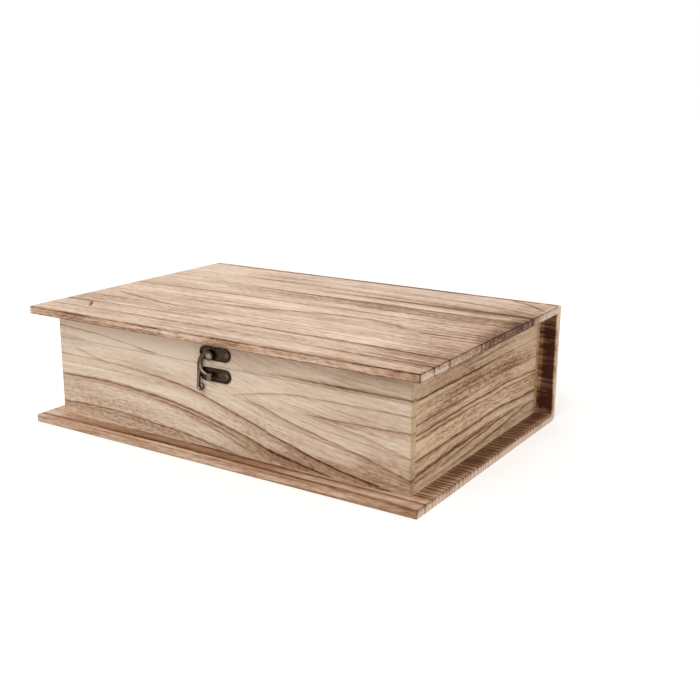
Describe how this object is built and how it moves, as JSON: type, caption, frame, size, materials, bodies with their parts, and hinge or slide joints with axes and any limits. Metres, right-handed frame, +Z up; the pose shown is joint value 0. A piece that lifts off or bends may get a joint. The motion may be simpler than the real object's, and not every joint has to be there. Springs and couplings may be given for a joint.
{
  "type": "book box",
  "caption": "Wooden keepsake box shaped like a closed book, with a hinged lid and an antique bronze swing hook clasp.",
  "frame": {"origin": "centre of the closed box's bounding box, on the plane that the box stands on", "axes": "+X along the spine, the clasp faces -Y, the spine and its hinges face +Y, +Z up"},
  "size_m": [0.345, 0.2388, 0.095],
  "materials": {
    "cover_wood": "lightly burnt softwood with brown grain lines, matt",
    "block_wood": "lightly burnt softwood with brown grain lines, matt",
    "spine_wood": "lightly burnt softwood with brown grain lines, matt",
    "antique_bronze": "dark antique bronze plating with worn edges",
    "worn_bronze": "antique bronze plating, rubbed bright"
  },
  "bodies": {
    "base": {"bottom_cover": "cover_wood", "front_wall": "block_wood", "rear_wall": "block_wood", "left_wall": "block_wood", "right_wall": "block_wood", "spine_lower": "spine_wood", "catch_plate": "antique_bronze", "catch_screws": "worn_bronze", "hinge_leaf_lower_left": "antique_bronze", "hinge_leaf_lower_right": "antique_bronze", "hinge_pin_left": "worn_bronze", "hinge_pin_right": "worn_bronze", "hinge_screws_lower": "worn_bronze"},
    "lid": {"top_cover": "cover_wood", "front_rim": "block_wood", "rear_rim": "block_wood", "left_rim": "block_wood", "right_rim": "block_wood", "spine_upper": "spine_wood", "hook_plate": "antique_bronze", "hook_plate_screws": "worn_bronze", "hook_rivet": "worn_bronze", "hinge_leaf_upper_left": "antique_bronze", "hinge_leaf_upper_right": "antique_bronze", "hinge_screws_upper": "worn_bronze"},
    "hook": {"swing_hook": "antique_bronze"}
  },
  "joints": [
    {"name": "lid_hinge", "type": "hinge", "parent": "base", "child": "lid", "pos_m": [0, 0.11757, 0.069], "axis": [-1, 0, 0], "range_deg": [0, 188]},
    {"name": "hook_swing", "type": "hinge", "parent": "lid", "child": "hook", "pos_m": [-0.0037, -0.1045, 0.077], "axis": [0, 1, 0], "range_deg": [0, 88]}
  ]
}
